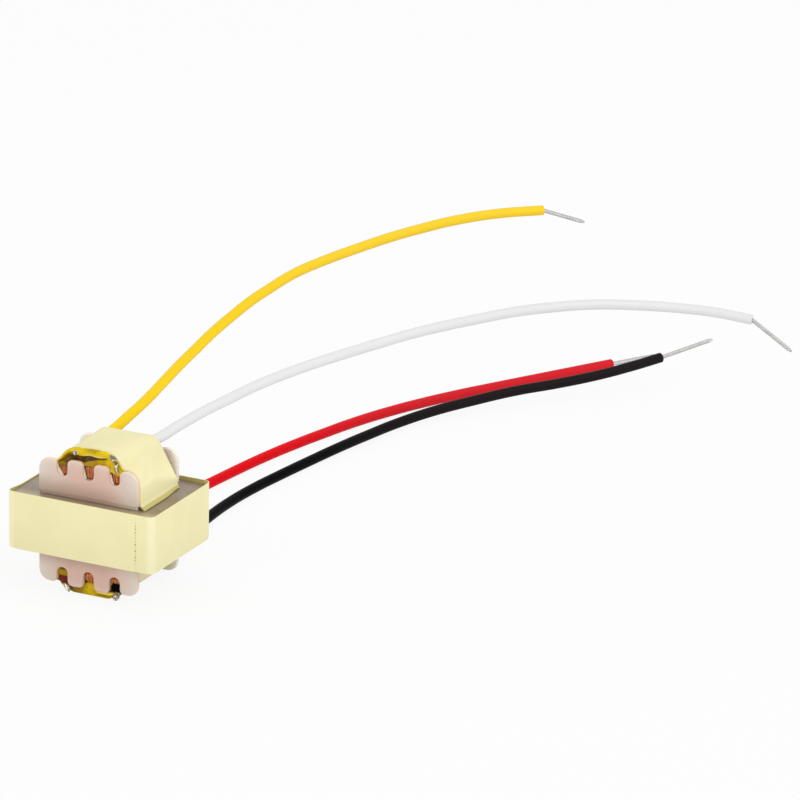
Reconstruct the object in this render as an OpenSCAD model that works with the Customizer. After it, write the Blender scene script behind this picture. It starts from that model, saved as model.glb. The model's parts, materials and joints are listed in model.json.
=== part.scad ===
// Miniature audio transformer with flying leads.
// Laminated EI core, slotted nylon bobbin, taped winding and four hook-up leads.
// X runs along the core, Y from the front to the lead side, Z up from the resting face.

/* [Core] */
// Width of the centre leg of an E lamination
centre_leg_w = 4; // [3:0.1:5]
// Width of an outer leg
leg_w = 2.15; // [1.5:0.05:2.5]
// Width of the yokes at the front and the rear
yoke_w = 2.15; // [1.5:0.05:2.5]
// Width of a core window, from centre leg to outer leg
window_w = 3; // [2.6:0.1:3.6]
// Length of a core window, from yoke to yoke
window_l = 6.2; // [5.6:0.1:7]
// Thickness of one lamination
lamination_t = 0.35; // [0.3:0.01:0.4]
// Number of lamination layers, each an E and an I
lamination_count = 13; // [11:1:15]
// Radius of the outer corners of a lamination
lamination_r = 0.5; // [0.1:0.05:0.6]
// Gap where the legs of an E meet the I
butt_gap = 0.02; // [0.01:0.01:0.05]

/* [Bobbin] */
// Clearance between the bobbin and the core
bobbin_fit = 0.1; // [0.05:0.01:0.2]
// Wall of the bobbin tube
tube_wall = 0.5; // [0.4:0.05:0.7]
// Radius of the edges of the tube
tube_r = 0.3; // [0.1:0.05:0.5]
// Thickness of a flange inside the core window
flange_t = 0.55; // [0.4:0.05:0.8]
// How far the toothed lobes of a flange overhang the yoke
lobe_overhang = 0.8; // [0.6:0.05:1]
// Thickness of a toothed lobe
lobe_t = 0.45; // [0.35:0.05:0.5]
// Thickness of the ledge that carries a lobe over the yoke
ledge_t = 0.45; // [0.3:0.05:0.6]
// Gap between a ledge and the core under it
lobe_lift = 0.35; // [0.2:0.05:0.5]
// Height of the inner teeth above the winding
tooth_rise = 1.05; // [0.8:0.05:1.4]
// How much lower the outer teeth are than the inner ones
outer_tooth_drop = 0.15; // [0:0.05:0.3]
// Width of a wire slot
slot_w = 1.05; // [1:0.05:1.3]
// Distance between neighbouring slots
slot_pitch = 2.6; // [2.4:0.05:2.8]
// Depth of a slot below the tips of the inner teeth
slot_depth = 1.6; // [1.3:0.05:1.8]
// Radius of the tooth corners
tooth_r = 0.45; // [0.2:0.05:0.5]
// Radius of the shoulders of a flange
shoulder_r = 1; // [0.5:0.1:1.3]

/* [Winding] */
// Build of the primary winding
primary_build = 0.95; // [0.6:0.05:1.2]
// Thickness of the tape between the windings
interlayer_t = 0.06; // [0.04:0.01:0.12]
// Gap between the winding and a flange
winding_gap = 0.05; // [0.02:0.01:0.1]
// Room left between the film and the outer legs
window_room = 0.42; // [0.3:0.01:0.6]
// Diameter of a bundle of magnet wire in a slot
tail_d = 0.36; // [0.3:0.02:0.44]

/* [Tapes] */
// Thickness of the film over the winding and the joints
film_t = 0.06; // [0.04:0.01:0.1]
// Gap between the film's hoods and the front lobe
hood_gap = 0.1; // [0.05:0.01:0.15]
// How far the upper hood dips below the tips of the inner teeth
hood_dip = 0.45; // [0.3:0.05:0.6]
// Thickness of the outer wrap
wrap_t = 0.12; // [0.08:0.01:0.16]
// Gap between the edges of the wrap and the lobes
wrap_gap = 0.05; // [0.02:0.01:0.1]
// Gap between the lower edge of the wrap and the core
wrap_lift = 0.06; // [0.03:0.01:0.2]
// How far the wrap is pulled in at its left shoulder
wrap_pull = 0.7; // [0:0.1:1]
// Lean of the rear edge of the wrap, in degrees
wrap_lean = 10; // [6:0.5:12]
// Gap between neighbouring layers of tape
layer_gap = 0.01; // [0.01:0.005:0.03]
// Height of the front arch of the wrap above the teeth
hump_rise = 1.45; // [1.3:0.05:1.6]
// Depth of the film's resting face below the teeth
hump_drop = 0.7; // [0.6:0.05:1]
// Thickness of the band round the core
band_t = 0.08; // [0.05:0.01:0.15]
// Width of the band, over the edges of the core
band_h = 5.24; // [4.8:0.02:5.6]
// Distance from the core's end to the lapped end of the band
band_lap_inset = 1.6; // [1:0.1:4]
// Length over which the lapped end climbs on the layer under it
band_lap_ramp = 1; // [0.5:0.1:2]

/* [Leads] */
// Outer diameter of a lead
lead_d = 0.95; // [0.9:0.01:1]
// Diameter of a bare, tinned end
conductor_d = 0.4; // [0.3:0.02:0.5]
// Bare length of the yellow lead
yellow_strip = 4.6; // [3:0.1:7]
// Bare length of the white lead
white_strip = 4.7; // [3:0.1:7]
// Bare length of the red lead
red_strip = 5.2; // [3:0.1:7]
// Bare length of the black lead
black_strip = 5.6; // [3:0.1:7]
// Length of a solder joint
joint_l = 0.55; // [0.4:0.05:0.7]
// Largest diameter of a solder joint
joint_d = 0.5; // [0.42:0.02:0.56]

/* [Hidden] */
$fn = 32;
arc_steps = 6;

// Core sizes
core_w = centre_leg_w + 2 * window_w + 2 * leg_w;
core_d = window_l + 2 * yoke_w;
stack_h = lamination_t * lamination_count;
leg_end_y = core_d / 2 - yoke_w - butt_gap;
window_front_y = -window_l / 2;

// Bobbin sizes, as half widths and heights from the axis of the winding
tube_inner_w = centre_leg_w / 2 + bobbin_fit;
tube_inner_h = stack_h / 2 + bobbin_fit;
tube_outer_w = tube_inner_w + tube_wall;
tube_outer_h = tube_inner_h + tube_wall;
flange_w = centre_leg_w / 2 + window_w - bobbin_fit;
flange_outer_y = window_l / 2 - bobbin_fit;
flange_inner_y = flange_outer_y - flange_t;
lobe_y = flange_outer_y + lobe_overhang;
lobe_inner_y = lobe_y - lobe_t;
lobe_foot = stack_h / 2 + lobe_lift;
ledge_top = lobe_foot + ledge_t;

// Winding sizes, as half widths and heights from its axis
secondary_build = centre_leg_w / 2 + window_w - window_room - film_t - layer_gap
    - interlayer_t - primary_build - tube_outer_w;
winding_build = primary_build + interlayer_t + secondary_build;
winding_w = tube_outer_w + winding_build;
winding_h = tube_outer_h + winding_build;
winding_r = tube_r + winding_build;
winding_y = flange_inner_y - winding_gap;

// Teeth and slots
inner_tip = winding_h + tooth_rise;
outer_tip = inner_tip - outer_tooth_drop;
slot_floor = inner_tip - slot_depth;
outer_tooth_w = flange_w - slot_pitch - slot_w / 2;
shoulder_fit_r = min(shoulder_r, outer_tooth_w - tooth_r);

// Heights of the winding axis and of the inner teeth above the resting face
axis_z = inner_tip + hump_drop;
tip_z = axis_z + inner_tip;

// Leads: points along each route from its solder joint, then the heading of the bare end.
// The heights of the upper two are counted from the tips of the inner teeth.
yellow_route = above_tips([
    [-1.6, -2.1, 0.53], [-1.6, 0.6, 0.53], [-1.6, 3.2, 0.53], [-2, 7, 0.63], [-2.6, 11.5, 0.73],
    [-3.4, 16, 0.83], [-4.2, 20.5, 0.93], [-5, 25, 0.93], [-5.7, 29.5, 1.03], [-6.3, 34, 1.03],
    [-6.7, 38.5, 1.13], [-6.9, 43, 1.13], [-6.8, 47.5, 1.23], [-6.2, 52, 1.23], [-5.2, 56.6, 1.23],
    [-4, 61.2, 1.23], [-2.7, 65.6, 1.13], [-1, 70, 1.03], [1.3, 74.3, 0.83], [4.3, 77.9, 0.63]
]);
yellow_heading = [3, 3.1, -1.6];
white_route = above_tips([
    [2, -2.1, 0.53], [2.2, 0.6, 0.53], [2.8, 3.2, 0.53], [3, 7, 0.63], [3.3, 11.2, 0.73],
    [3.7, 15.3, 0.73], [4.3, 19.4, 0.83], [5.1, 23.4, 0.83], [6.1, 27.3, 0.83], [7.3, 31.1, 0.83],
    [8.6, 34.9, 0.83], [10, 38.7, 0.83], [11.5, 42.4, 0.73], [13.2, 46, 0.63], [15.1, 49.6, 0.53],
    [17.3, 53, 0.33], [20, 56.1, 0.13], [23.2, 59, -0.27], [26.7, 61.3, -0.67], [29.8, 62.6, -0.97],
    [32.9, 63.4, -1.37]
]);
white_heading = [3.7, 0.8, -2.7];
red_route = [
    [-2.6, -3.4, 1.2], [-2.6, -0.8, 1.1], [-2.6, 1.8, 1], [-2.6, 4.4, 0.9], [-3.2, 8.2, 0.6],
    [-3.9, 12.4, 0.5], [-4.3, 16.8, 0.5], [-4.2, 21.2, 0.5], [-3.7, 25.5, 0.5], [-3.2, 29.7, 0.5],
    [-2.6, 33.9, 0.5], [-1.8, 38.1, 0.5], [-0.8, 42.3, 0.5], [0.3, 46.4, 0.5], [1.7, 50.4, 0.5],
    [3.4, 54.3, 0.5], [5.4, 58.2, 0.5], [7.6, 62, 0.5], [9.8, 65.7, 0.5], [12, 69.4, 0.5],
    [14.2, 73.1, 0.5]
];
red_heading = [2.8, 4.5, 0];
black_route = [
    [2.6, -3.4, 1.2], [2.6, -0.8, 1.1], [2.6, 1.8, 1], [2.6, 4.4, 0.9], [1.9, 8.6, 0.6],
    [0.9, 12.9, 0.5], [0.4, 17.4, 0.5], [0.2, 21.8, 0.5], [0.4, 26.2, 0.5], [0.9, 30.6, 0.5],
    [1.5, 35, 0.5], [2.3, 39.3, 0.6], [3.1, 43.6, 0.6], [4.2, 47.8, 0.7], [5.9, 51.9, 0.9],
    [8.1, 55.8, 1.1], [10.7, 59.4, 1.4], [13.5, 62.7, 1.6], [16.2, 66, 1.9], [18.3, 69.2, 2.2],
    [19.8, 72.1, 2.4]
];
black_heading = [3.4, 4.3, 1.1];
lead_sides = 8;
exit_point = 2;

// Film: circles that it is drawn over, as [x, height, radius] from the axis
lead_slack = 0.03;
lead_round = lead_d / 2 + lead_slack;
arch_r = 1.95;
arch_x = 1.2;
arch_z = inner_tip + hump_rise - wrap_t - layer_gap - film_t - arch_r;
foot_r = 0.7;
foot_x = 1.6;
foot_z = film_t + foot_r - axis_z;
winding_corners = [
    for (sx = [-1, 1], sz = [-1, 1])
        [sx * (winding_w - winding_r), sz * (winding_h - winding_r), winding_r + layer_gap]
];
foot_rounds = [for (sx = [-1, 1]) [sx * foot_x, foot_z, foot_r]];
lower_lead_rounds = [for (p = [red_route[exit_point], black_route[exit_point]]) lead_seat(p)];
upper_lead_rounds = [for (p = [yellow_route[exit_point], white_route[exit_point]]) lead_seat(p)];
arch_rounds = [for (sx = [-1, 1]) [sx * arch_x, arch_z, arch_r]];
wound_rounds = concat(winding_corners, foot_rounds, lower_lead_rounds);
hood_y = hood_gap - lobe_inner_y;
hood_foot = inner_tip - hood_dip;
slab = 0.02;

// Wrap: circles that it is drawn over, outside the film and between the lobes
shoulder_x = flange_w - shoulder_fit_r;
shoulder_rounds = [
    for (x = [wrap_pull - shoulder_x, shoulder_x]) [x, outer_tip - shoulder_fit_r, shoulder_fit_r]
];
skirt_r = 0.3;
skirt_rounds = [for (sx = [-1, 1], z = [0, ledge_top]) [sx * (flange_w - skirt_r), z, skirt_r]];
wrap_rear_rounds = over_film(concat(upper_lead_rounds, winding_corners), layer_gap);
wrap_y = lobe_inner_y - wrap_gap;
wrap_foot = stack_h / 2 + wrap_lift;

// Magnet-wire tails and solder joints
tail_r = tail_d / 2;
tail_tip_r = tail_r / 2;
tail_seat = 0.06;
tail_z = slot_floor + tail_seat + tail_r;
tail_y = hood_y + film_t + layer_gap + tail_r;
tail_joint_gap = 0.02;
splice_y = -1.7;
splice_rise = 1.05;
splice_z = winding_h + splice_rise;
stub_fit = 0.05;
joint_gap = 0.05;
yellow_hang = [-1, 0, -1];
white_hang = [0.8, 0, -0.6];
low_hang = [0, 0, -1];
white_joint_l = 0.9;
low_joint_l = 1;

lamination_names = [for (i = [1:lamination_count]) str(i < 10 ? "_0" : "_", i)];

// Points on an arc in the plane
function arc(centre, r, from, to, steps = arc_steps) = [
    for (i = [0:steps])
        let (a = from + (to - from) * i / steps)
        centre + r * [cos(a), sin(a)]
];

// Outline of a rectangle with round corners, given as half sizes
function round_rect(half_w, half_h, r) = concat(
    arc([half_w - r, half_h - r], r, 0, 90),
    arc([r - half_w, half_h - r], r, 90, 180),
    arc([r - half_w, r - half_h], r, 180, 270),
    arc([half_w - r, r - half_h], r, 270, 360)
);

// Tip of one flange tooth, from its left edge to its right edge
function tooth_tip(left, right, tip, left_r, right_r) = concat(
    arc([left + left_r, tip - left_r], left_r, 180, 90),
    arc([right - right_r, tip - right_r], right_r, 90, 0)
);

// Round floor of the slot at x
function slot_end(x) = arc([x, slot_floor + slot_w / 2], slot_w / 2, 180, 360, 2 * arc_steps);

// Route of a lead whose heights are counted from the tips of the inner teeth
function above_tips(route) = [for (p = route) p + [0, 0, tip_z]];

// Seat of a lead under the tapes
function lead_seat(p) = [p.x, p.z - axis_z, lead_round];

// Circles grown by the film that lies on them, and by some ease
function over_film(rounds, ease = 0) = [for (c = rounds) c + [0, 0, film_t + ease]];

function unit(v) = v / norm(v);

// Heading of a path at point i
function heading(path, i, last_heading) =
    let (last = len(path) - 1)
    i == 0 ? unit(path[1] - path[0])
    : i == last ? unit(last_heading)
    : unit(unit(path[i + 1] - path[i]) + unit(path[i] - path[i - 1]));

// Ring of points round a path at point i
function ring(path, radii, i, sides, side_axis, last_heading) =
    let (
        ahead = heading(path, i, last_heading),
        across = unit(side_axis - ahead * (side_axis * ahead)),
        over = cross(ahead, across)
    )
    [
        for (k = [0:sides - 1])
            let (a = 360 * k / sides)
            path[i] + radii[i] * (cos(a) * across + sin(a) * over)
    ];

// Extrudes an outline in X and Z between two planes across Y
module along_y(y0, y1) {
    translate([0, y1, 0]) rotate([90, 0, 0]) linear_extrude(y1 - y0) children();
}

// Sets children, built along Z, at a point and turns them to a heading
module aim(p, ahead) {
    d = unit(ahead);
    translate(p) rotate([0, acos(d.z), atan2(d.y, d.x)]) children();
}

// Tube swept along a path, with a radius for each point
module swept_tube(path, radii, sides, side_axis, last_heading) {
    count = len(path);
    points = [for (i = [0:count - 1]) each ring(path, radii, i, sides, side_axis, last_heading)];
    walls = [
        for (i = [0:count - 2], k = [0:sides - 1])
            let (a = i * sides + k, b = i * sides + (k + 1) % sides)
            each [[a, a + sides, b], [b, a + sides, b + sides]]
    ];
    first_cap = [for (k = [0:sides - 1]) k];
    last_cap = [for (k = [sides - 1:-1:0]) (count - 1) * sides + k];
    polyhedron(points, concat([first_cap, last_cap], walls));
}

// Lifts what is built round the winding axis to its height
module on_axis() {
    translate([0, 0, axis_z]) children();
}

// Flange outline: four teeth above and four below, with three round-ended slots between them
module flange_outline() {
    near = slot_w / 2;
    far = slot_pitch + slot_w / 2;
    upper = concat(
        tooth_tip(-flange_w, -far, outer_tip, shoulder_fit_r, tooth_r),
        slot_end(-slot_pitch),
        tooth_tip(near - slot_pitch, -near, inner_tip, tooth_r, tooth_r),
        slot_end(0),
        tooth_tip(near, slot_pitch - near, inner_tip, tooth_r, tooth_r),
        slot_end(slot_pitch),
        tooth_tip(far, flange_w, outer_tip, tooth_r, shoulder_fit_r)
    );
    lower = [for (i = [len(upper) - 1:-1:0]) [upper[i].x, -upper[i].y]];
    polygon(concat(upper, lower));
}

// One flange at the rear: a plate in the core window, and lobes set out over the yoke on ledges
module flange() {
    along_y(flange_inner_y, flange_outer_y) square([2 * flange_w, 2 * ledge_top], center = true);
    difference() {
        along_y(flange_inner_y, lobe_y) square([2 * flange_w, 2 * ledge_top], center = true);
        yoke_space();
    }
    difference() {
        along_y(lobe_inner_y, lobe_y) flange_outline();
        yoke_space();
    }
}

// Space that a flange leaves for the rear yoke
module yoke_space() {
    along_y(flange_outer_y, core_d) square([2 * core_w, 2 * lobe_foot], center = true);
}

// Nylon bobbin: square tube with a toothed flange at each end
module bobbin() {
    color([0.87, 0.8, 0.78])
    on_axis()
    difference() {
        union() {
            along_y(-flange_outer_y, flange_outer_y)
                polygon(round_rect(tube_outer_w, tube_outer_h, tube_r));
            flange();
            mirror([0, 1, 0]) flange();
        }
        translate([-tube_inner_w, -core_d, -tube_inner_h])
            cube([2 * tube_inner_w, 2 * core_d, 2 * tube_inner_h]);
    }
}

// Stamped E with its yoke at the front
module e_outline() {
    edge = core_w / 2;
    inner_leg = edge - leg_w;
    tongue = centre_leg_w / 2;
    polygon(concat(
        arc([lamination_r - edge, lamination_r - core_d / 2], lamination_r, 180, 270),
        arc([edge - lamination_r, lamination_r - core_d / 2], lamination_r, 270, 360),
        [[edge, leg_end_y], [inner_leg, leg_end_y], [inner_leg, window_front_y]],
        [[tongue, window_front_y], [tongue, leg_end_y], [-tongue, leg_end_y], [-tongue, window_front_y]],
        [[-inner_leg, window_front_y], [-inner_leg, leg_end_y], [-edge, leg_end_y]]
    ));
}

// Stamped I that closes the window at the rear
module i_outline() {
    edge = core_w / 2;
    polygon(concat(
        [[-edge, core_d / 2 - yoke_w], [edge, core_d / 2 - yoke_w]],
        arc([edge - lamination_r, core_d / 2 - lamination_r], lamination_r, 0, 90),
        arc([lamination_r - edge, core_d / 2 - lamination_r], lamination_r, 90, 180)
    ));
}

// Sets a lamination in its layer, with every other layer turned round
module layer(i) {
    turn = i % 2 == 0 ? 180 : 0;
    color([0.58, 0.55, 0.53])
    on_axis()
    translate([0, 0, (i - 1) * lamination_t - stack_h / 2])
    rotate([0, 0, turn])
    linear_extrude(lamination_t) children();
}

module e_lamination(i) {
    layer(i) e_outline();
}

module i_lamination(i) {
    layer(i) i_outline();
}

// One layer wound on the tube, between two builds above it
module wound_layer(inner_build, outer_build) {
    on_axis()
    along_y(-winding_y, winding_y)
    difference() {
        polygon(round_rect(tube_outer_w + outer_build, tube_outer_h + outer_build, tube_r + outer_build));
        polygon(round_rect(tube_outer_w + inner_build, tube_outer_h + inner_build, tube_r + inner_build));
    }
}

module primary_winding() {
    color([0.72, 0.4, 0.22]) wound_layer(0, primary_build);
}

module interlayer_tape() {
    color([0.9, 0.82, 0.3]) wound_layer(primary_build, primary_build + interlayer_t);
}

module secondary_winding() {
    color([0.76, 0.42, 0.24]) wound_layer(primary_build + interlayer_t, winding_build);
}

// Thin slab of the shape that tape takes over a set of circles
module taped_slab(rounds, margin, y0, y1) {
    along_y(y0, y1) for (c = rounds) translate([c.x, c.y]) circle(c.z + margin, $fn = 4 * arc_steps);
}

// Space inside a layer of tape: over shared circles all along, and over others at the front and the rear
module taped_bundle(shared, at_front, at_rear, margin, front, rear) {
    hull() {
        taped_slab(shared, margin, front, rear);
        taped_slab(at_front, margin, front, slab - winding_y);
        taped_slab(at_rear, margin, winding_y - slab, rear);
    }
}

// Film wound over the winding and the lead joints, with an upper and a lower hood at the front
module winding_film() {
    low_foot = inner_tip + layer_gap;
    color([0.9, 0.8, 0.15])
    on_axis()
    difference() {
        taped_bundle(wound_rounds, arch_rounds, upper_lead_rounds, film_t, hood_y, winding_y);
        taped_bundle(wound_rounds, arch_rounds, upper_lead_rounds, 0, hood_y + film_t, winding_y + slab);
        translate([-core_w, -core_d, -low_foot])
            cube([2 * core_w, core_d - winding_y, low_foot + hood_foot]);
        for (route = [yellow_route, white_route])
            translate([0, 0, -axis_z])
            aim(route[0], route[0] - route[1])
            cylinder(d = conductor_d + 2 * stub_fit, h = core_d, $fn = lead_sides);
    }
}

// Space under the wrap: a saddle over the shoulders of the lobes, and a ridge over the film's arch
module wrap_space(margin, edge_y) {
    taped_bundle(skirt_rounds, shoulder_rounds, wrap_rear_rounds, margin, -edge_y, edge_y);
    taped_bundle(
        over_film(winding_corners), over_film(arch_rounds), over_film(upper_lead_rounds),
        margin, -edge_y, winding_y
    );
}

// Outer wrap: tape drawn over the top of the winding and the leads, down to the core
module winding_wrap() {
    color([0.95, 0.91, 0.7])
    on_axis()
    difference() {
        wrap_space(layer_gap + wrap_t, wrap_y);
        wrap_space(layer_gap, wrap_y + slab);
        translate([-core_w, -core_d, wrap_foot - core_w]) cube([2 * core_w, 2 * core_d, core_w]);
        translate([-core_w, wrap_y, wrap_foot]) rotate([wrap_lean, 0, 0]) cube([2 * core_w, core_d, core_w]);
    }
}

// Tape band round the core, lapped over itself along the front
module core_band() {
    edge = core_w / 2;
    face = core_d / 2;
    outer_r = lamination_r + band_t;
    lap_end = edge - band_lap_inset;
    corner_x = edge - lamination_r;
    corner_y = face - lamination_r;
    color([0.94, 0.91, 0.72])
    on_axis()
    translate([0, 0, -band_h / 2])
    linear_extrude(band_h)
    difference() {
        polygon(concat(
            arc([corner_x, corner_y], outer_r, 0, 90),
            arc([-corner_x, corner_y], outer_r, 90, 180),
            arc([-corner_x, -corner_y], outer_r, 180, 270),
            [[band_lap_ramp - corner_x, -face - 2 * band_t], [lap_end, -face - 2 * band_t]],
            [[lap_end, -face - band_t]],
            arc([corner_x, -corner_y], outer_r, 270, 360)
        ));
        polygon(round_rect(edge, face, lamination_r));
    }
}

// Radii of a tail that thins towards its joint
function tail_radii(count) = [for (i = [0:count - 1]) tail_r + (tail_tip_r - tail_r) * i / (count - 1)];

module tail(path, last_heading) {
    color([0.8, 0.44, 0.25])
    on_axis()
    swept_tube(path, tail_radii(len(path)), lead_sides, [1, 0, 0], last_heading);
}

// Place across Y of a solder joint, in front of the film and of the end of its lead
function joint_y(route) = min(hood_y, route[0].y) - joint_gap - joint_d / 2;

// End of the bare stub that carries a joint
function stub_end(route) =
    let (ahead = unit(route[0] - route[1]))
    route[0] + ahead * (joint_y(route) - route[0].y) / ahead.y;

// Top and foot of a joint that hangs from its stub
function joint_top(route, hang) = stub_end(route) - conductor_d / 2 * unit(hang);
function joint_foot(route, hang, length) = joint_top(route, hang) + length * unit(hang);

// Tail that rises in an upper slot, in front of the film, to the foot of a joint
module lead_tail(slot_x, route, hang, length) {
    front = joint_y(route);
    end = joint_foot(route, hang, length) - [0, 0, axis_z] + tail_joint_gap * unit(hang);
    tail([
        [slot_x, -winding_y, tail_z],
        [slot_x, front + 2 * tail_r, tail_z],
        [slot_x, front, tail_z + 2 * tail_r],
        [slot_x, front, inner_tip - tooth_r],
        end + tail_r * unit(hang),
        end
    ], -hang);
}

// Tail in the middle slot, bent back over the winding to a splice
module splice_tail() {
    tail([
        [0, -winding_y, tail_z],
        [0, tail_y + tail_r, tail_z],
        [0, tail_y, tail_z + 2 * tail_r],
        [0, tail_y + tail_r, splice_z - 2 * tail_r],
        [0, tail_y + 3 * tail_r, splice_z],
        [0, splice_y - tail_joint_gap, splice_z]
    ], [0, 1, 0]);
}

// Tail in a lower slot, brought over the end of the lead and down to its joint
module low_tail(slot_x, route) {
    front = stub_end(route) - [0, 0, axis_z];
    tail([
        [slot_x, -winding_y, -tail_z],
        [slot_x, front.y + 2 * tail_r, -tail_z],
        [slot_x, front.y, -tail_z - tail_r],
        [slot_x, front.y, front.z + conductor_d / 2 + tail_joint_gap]
    ], [0, 0, -1]);
}

module upper_left_tail() {
    lead_tail(-slot_pitch, yellow_route, yellow_hang, joint_l);
}

module upper_middle_tail() {
    splice_tail();
}

module upper_right_tail() {
    lead_tail(slot_pitch, white_route, white_hang, white_joint_l);
}

module lower_left_tail() {
    low_tail(-slot_pitch, red_route);
}

module lower_middle_tail() {
    translate([0, 0, axis_z]) mirror([0, 0, 1]) translate([0, 0, -axis_z]) splice_tail();
}

module lower_right_tail() {
    low_tail(slot_pitch, black_route);
}

// Spindle of solder, built along Z
module solder_spindle(length) {
    end_r = conductor_d / 2;
    bulge = joint_d / 2 - end_r;
    color([0.75, 0.75, 0.74])
    rotate_extrude()
    polygon(concat(
        [[0, 0]],
        [for (i = [0:arc_steps]) [end_r + bulge * sin(180 * i / arc_steps), length * i / arc_steps]],
        [[0, length]]
    ));
}

// Joint that hangs from the bare stub at the end of a lead
module joint(route, hang, length) {
    color([0.75, 0.75, 0.74])
    aim(route[0], route[0] - route[1]) cylinder(d = conductor_d, h = norm(stub_end(route) - route[0]));
    aim(joint_top(route, hang), hang) solder_spindle(length);
}

module upper_splice() {
    on_axis() aim([0, splice_y, splice_z], [0, 1, 0]) solder_spindle(joint_l);
}

module lower_splice() {
    on_axis() aim([0, splice_y, -splice_z], [0, 1, 0]) solder_spindle(joint_l);
}

// Insulated lead along its route
module lead(route, last_heading) {
    radii = [for (p = route) lead_d / 2];
    swept_tube(route, radii, lead_sides, [0, 0, 1], last_heading);
}

module tinned_end(route, ahead, length) {
    color([0.78, 0.78, 0.78])
    aim(route[len(route) - 1], ahead) cylinder(d = conductor_d, h = length);
}

module yellow_lead() {
    color([0.98, 0.82, 0.02]) lead(yellow_route, yellow_heading);
}

module white_lead() {
    color([0.93, 0.93, 0.93]) lead(white_route, white_heading);
}

module red_lead() {
    color([0.9, 0.05, 0.12]) lead(red_route, red_heading);
}

module black_lead() {
    color([0.04, 0.04, 0.04]) lead(black_route, black_heading);
}

for (i = [1:lamination_count]) {
    e_lamination(i);
    i_lamination(i);
}
bobbin();
primary_winding();
interlayer_tape();
secondary_winding();
winding_film();
winding_wrap();
core_band();
upper_left_tail();
upper_middle_tail();
upper_right_tail();
lower_left_tail();
lower_middle_tail();
lower_right_tail();
joint(yellow_route, yellow_hang, joint_l);  // yellow_joint
joint(white_route, white_hang, white_joint_l);  // white_joint
joint(red_route, low_hang, low_joint_l);  // red_joint
joint(black_route, low_hang, low_joint_l);  // black_joint
upper_splice();
lower_splice();
yellow_lead();
white_lead();
red_lead();
black_lead();
tinned_end(yellow_route, yellow_heading, yellow_strip);  // yellow_tinned_end
tinned_end(white_route, white_heading, white_strip);  // white_tinned_end
tinned_end(red_route, red_heading, red_strip);  // red_tinned_end
tinned_end(black_route, black_heading, black_strip);  // black_tinned_end
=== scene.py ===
import json
import math

import bpy
from mathutils import Matrix, Vector

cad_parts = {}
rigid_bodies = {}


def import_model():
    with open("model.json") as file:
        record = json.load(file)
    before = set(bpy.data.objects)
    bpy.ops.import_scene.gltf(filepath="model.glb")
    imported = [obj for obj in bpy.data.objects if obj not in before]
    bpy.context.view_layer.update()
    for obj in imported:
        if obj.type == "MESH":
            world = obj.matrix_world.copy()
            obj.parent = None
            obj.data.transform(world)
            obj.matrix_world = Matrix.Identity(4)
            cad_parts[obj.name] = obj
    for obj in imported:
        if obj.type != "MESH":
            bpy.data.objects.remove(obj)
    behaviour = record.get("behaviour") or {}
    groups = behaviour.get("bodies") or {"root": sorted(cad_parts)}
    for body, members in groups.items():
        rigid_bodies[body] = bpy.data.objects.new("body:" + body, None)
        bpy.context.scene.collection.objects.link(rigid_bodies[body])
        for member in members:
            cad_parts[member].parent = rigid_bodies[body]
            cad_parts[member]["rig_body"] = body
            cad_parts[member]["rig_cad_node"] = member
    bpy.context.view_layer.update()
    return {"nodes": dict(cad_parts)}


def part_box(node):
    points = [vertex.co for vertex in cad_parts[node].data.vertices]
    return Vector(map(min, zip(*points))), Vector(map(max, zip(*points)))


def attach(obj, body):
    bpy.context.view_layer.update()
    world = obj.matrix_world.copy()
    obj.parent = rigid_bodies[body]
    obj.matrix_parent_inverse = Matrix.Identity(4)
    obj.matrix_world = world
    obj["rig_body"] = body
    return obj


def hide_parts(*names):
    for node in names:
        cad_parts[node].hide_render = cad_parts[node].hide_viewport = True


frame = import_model()
bpy.ops.object.select_all(action="DESELECT")


# Core laminations
# E and I sheets stamped from thin silicon steel, with the grey-brown skin that annealing leaves.
# They are slid into the bobbin from the front and the rear in turn, and lie flat on each other.
class Wire:
    """One output of a shader node. Arithmetic on wires adds Math nodes to the same tree."""

    def __init__(self, tree, output=None):
        self.tree = tree
        self.output = output

    def node(self, kind, settings, sockets, out=0):
        """Adds a node, makes its settings, fills its sockets with values or wires, and gives one output."""
        made = self.tree.nodes.new("ShaderNode" + kind)
        for name, value in settings.items():
            setattr(made, name, value)
        for key, value in sockets.items():
            if isinstance(value, Wire):
                self.tree.links.new(value.output, made.inputs[key])
            else:
                made.inputs[key].default_value = value
        return Wire(self.tree, made.outputs[out] if made.outputs else None)

    def math(self, operation, first, second):
        """The result of a Math node on two values or wires."""
        return self.node("Math", {"operation": operation}, {0: first, 1: second})

    def __add__(self, other):
        return self.math("ADD", self, other)

    def __radd__(self, other):
        return self.math("ADD", other, self)

    def __sub__(self, other):
        return self.math("SUBTRACT", self, other)

    def __rsub__(self, other):
        return self.math("SUBTRACT", other, self)

    def __mul__(self, other):
        return self.math("MULTIPLY", self, other)

    def __rmul__(self, other):
        return self.math("MULTIPLY", other, self)

    def __abs__(self):
        return self.math("ABSOLUTE", self, 0)

    def axis(self, letter):
        """One coordinate of a place."""
        return self.node("SeparateXYZ", {}, {0: self}, letter)

    def rise(self, start, end):
        """0 before start, 1 after end, and smooth between them."""
        settings = {"interpolation_type": "SMOOTHSTEP"}
        return self.node("MapRange", settings, {0: self, 1: start, 2: end, 3: 0.0, 4: 1.0})

    def between(self, first, second):
        """A colour that goes from first to second as this wire goes from 0 to 1."""
        return self.node("Mix", {"data_type": "RGBA"}, {0: self, 6: first, 7: second}, 2)


def paint(red, green, blue):
    """A colour as it looks on a screen, 0 to 255, as the linear colour that a shader takes."""
    shares = [level / 255 for level in (red, green, blue)]
    return [s / 12.92 if s < 0.04045 else ((s + 0.055) / 1.055) ** 2.4 for s in shares] + [1.0]


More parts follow.
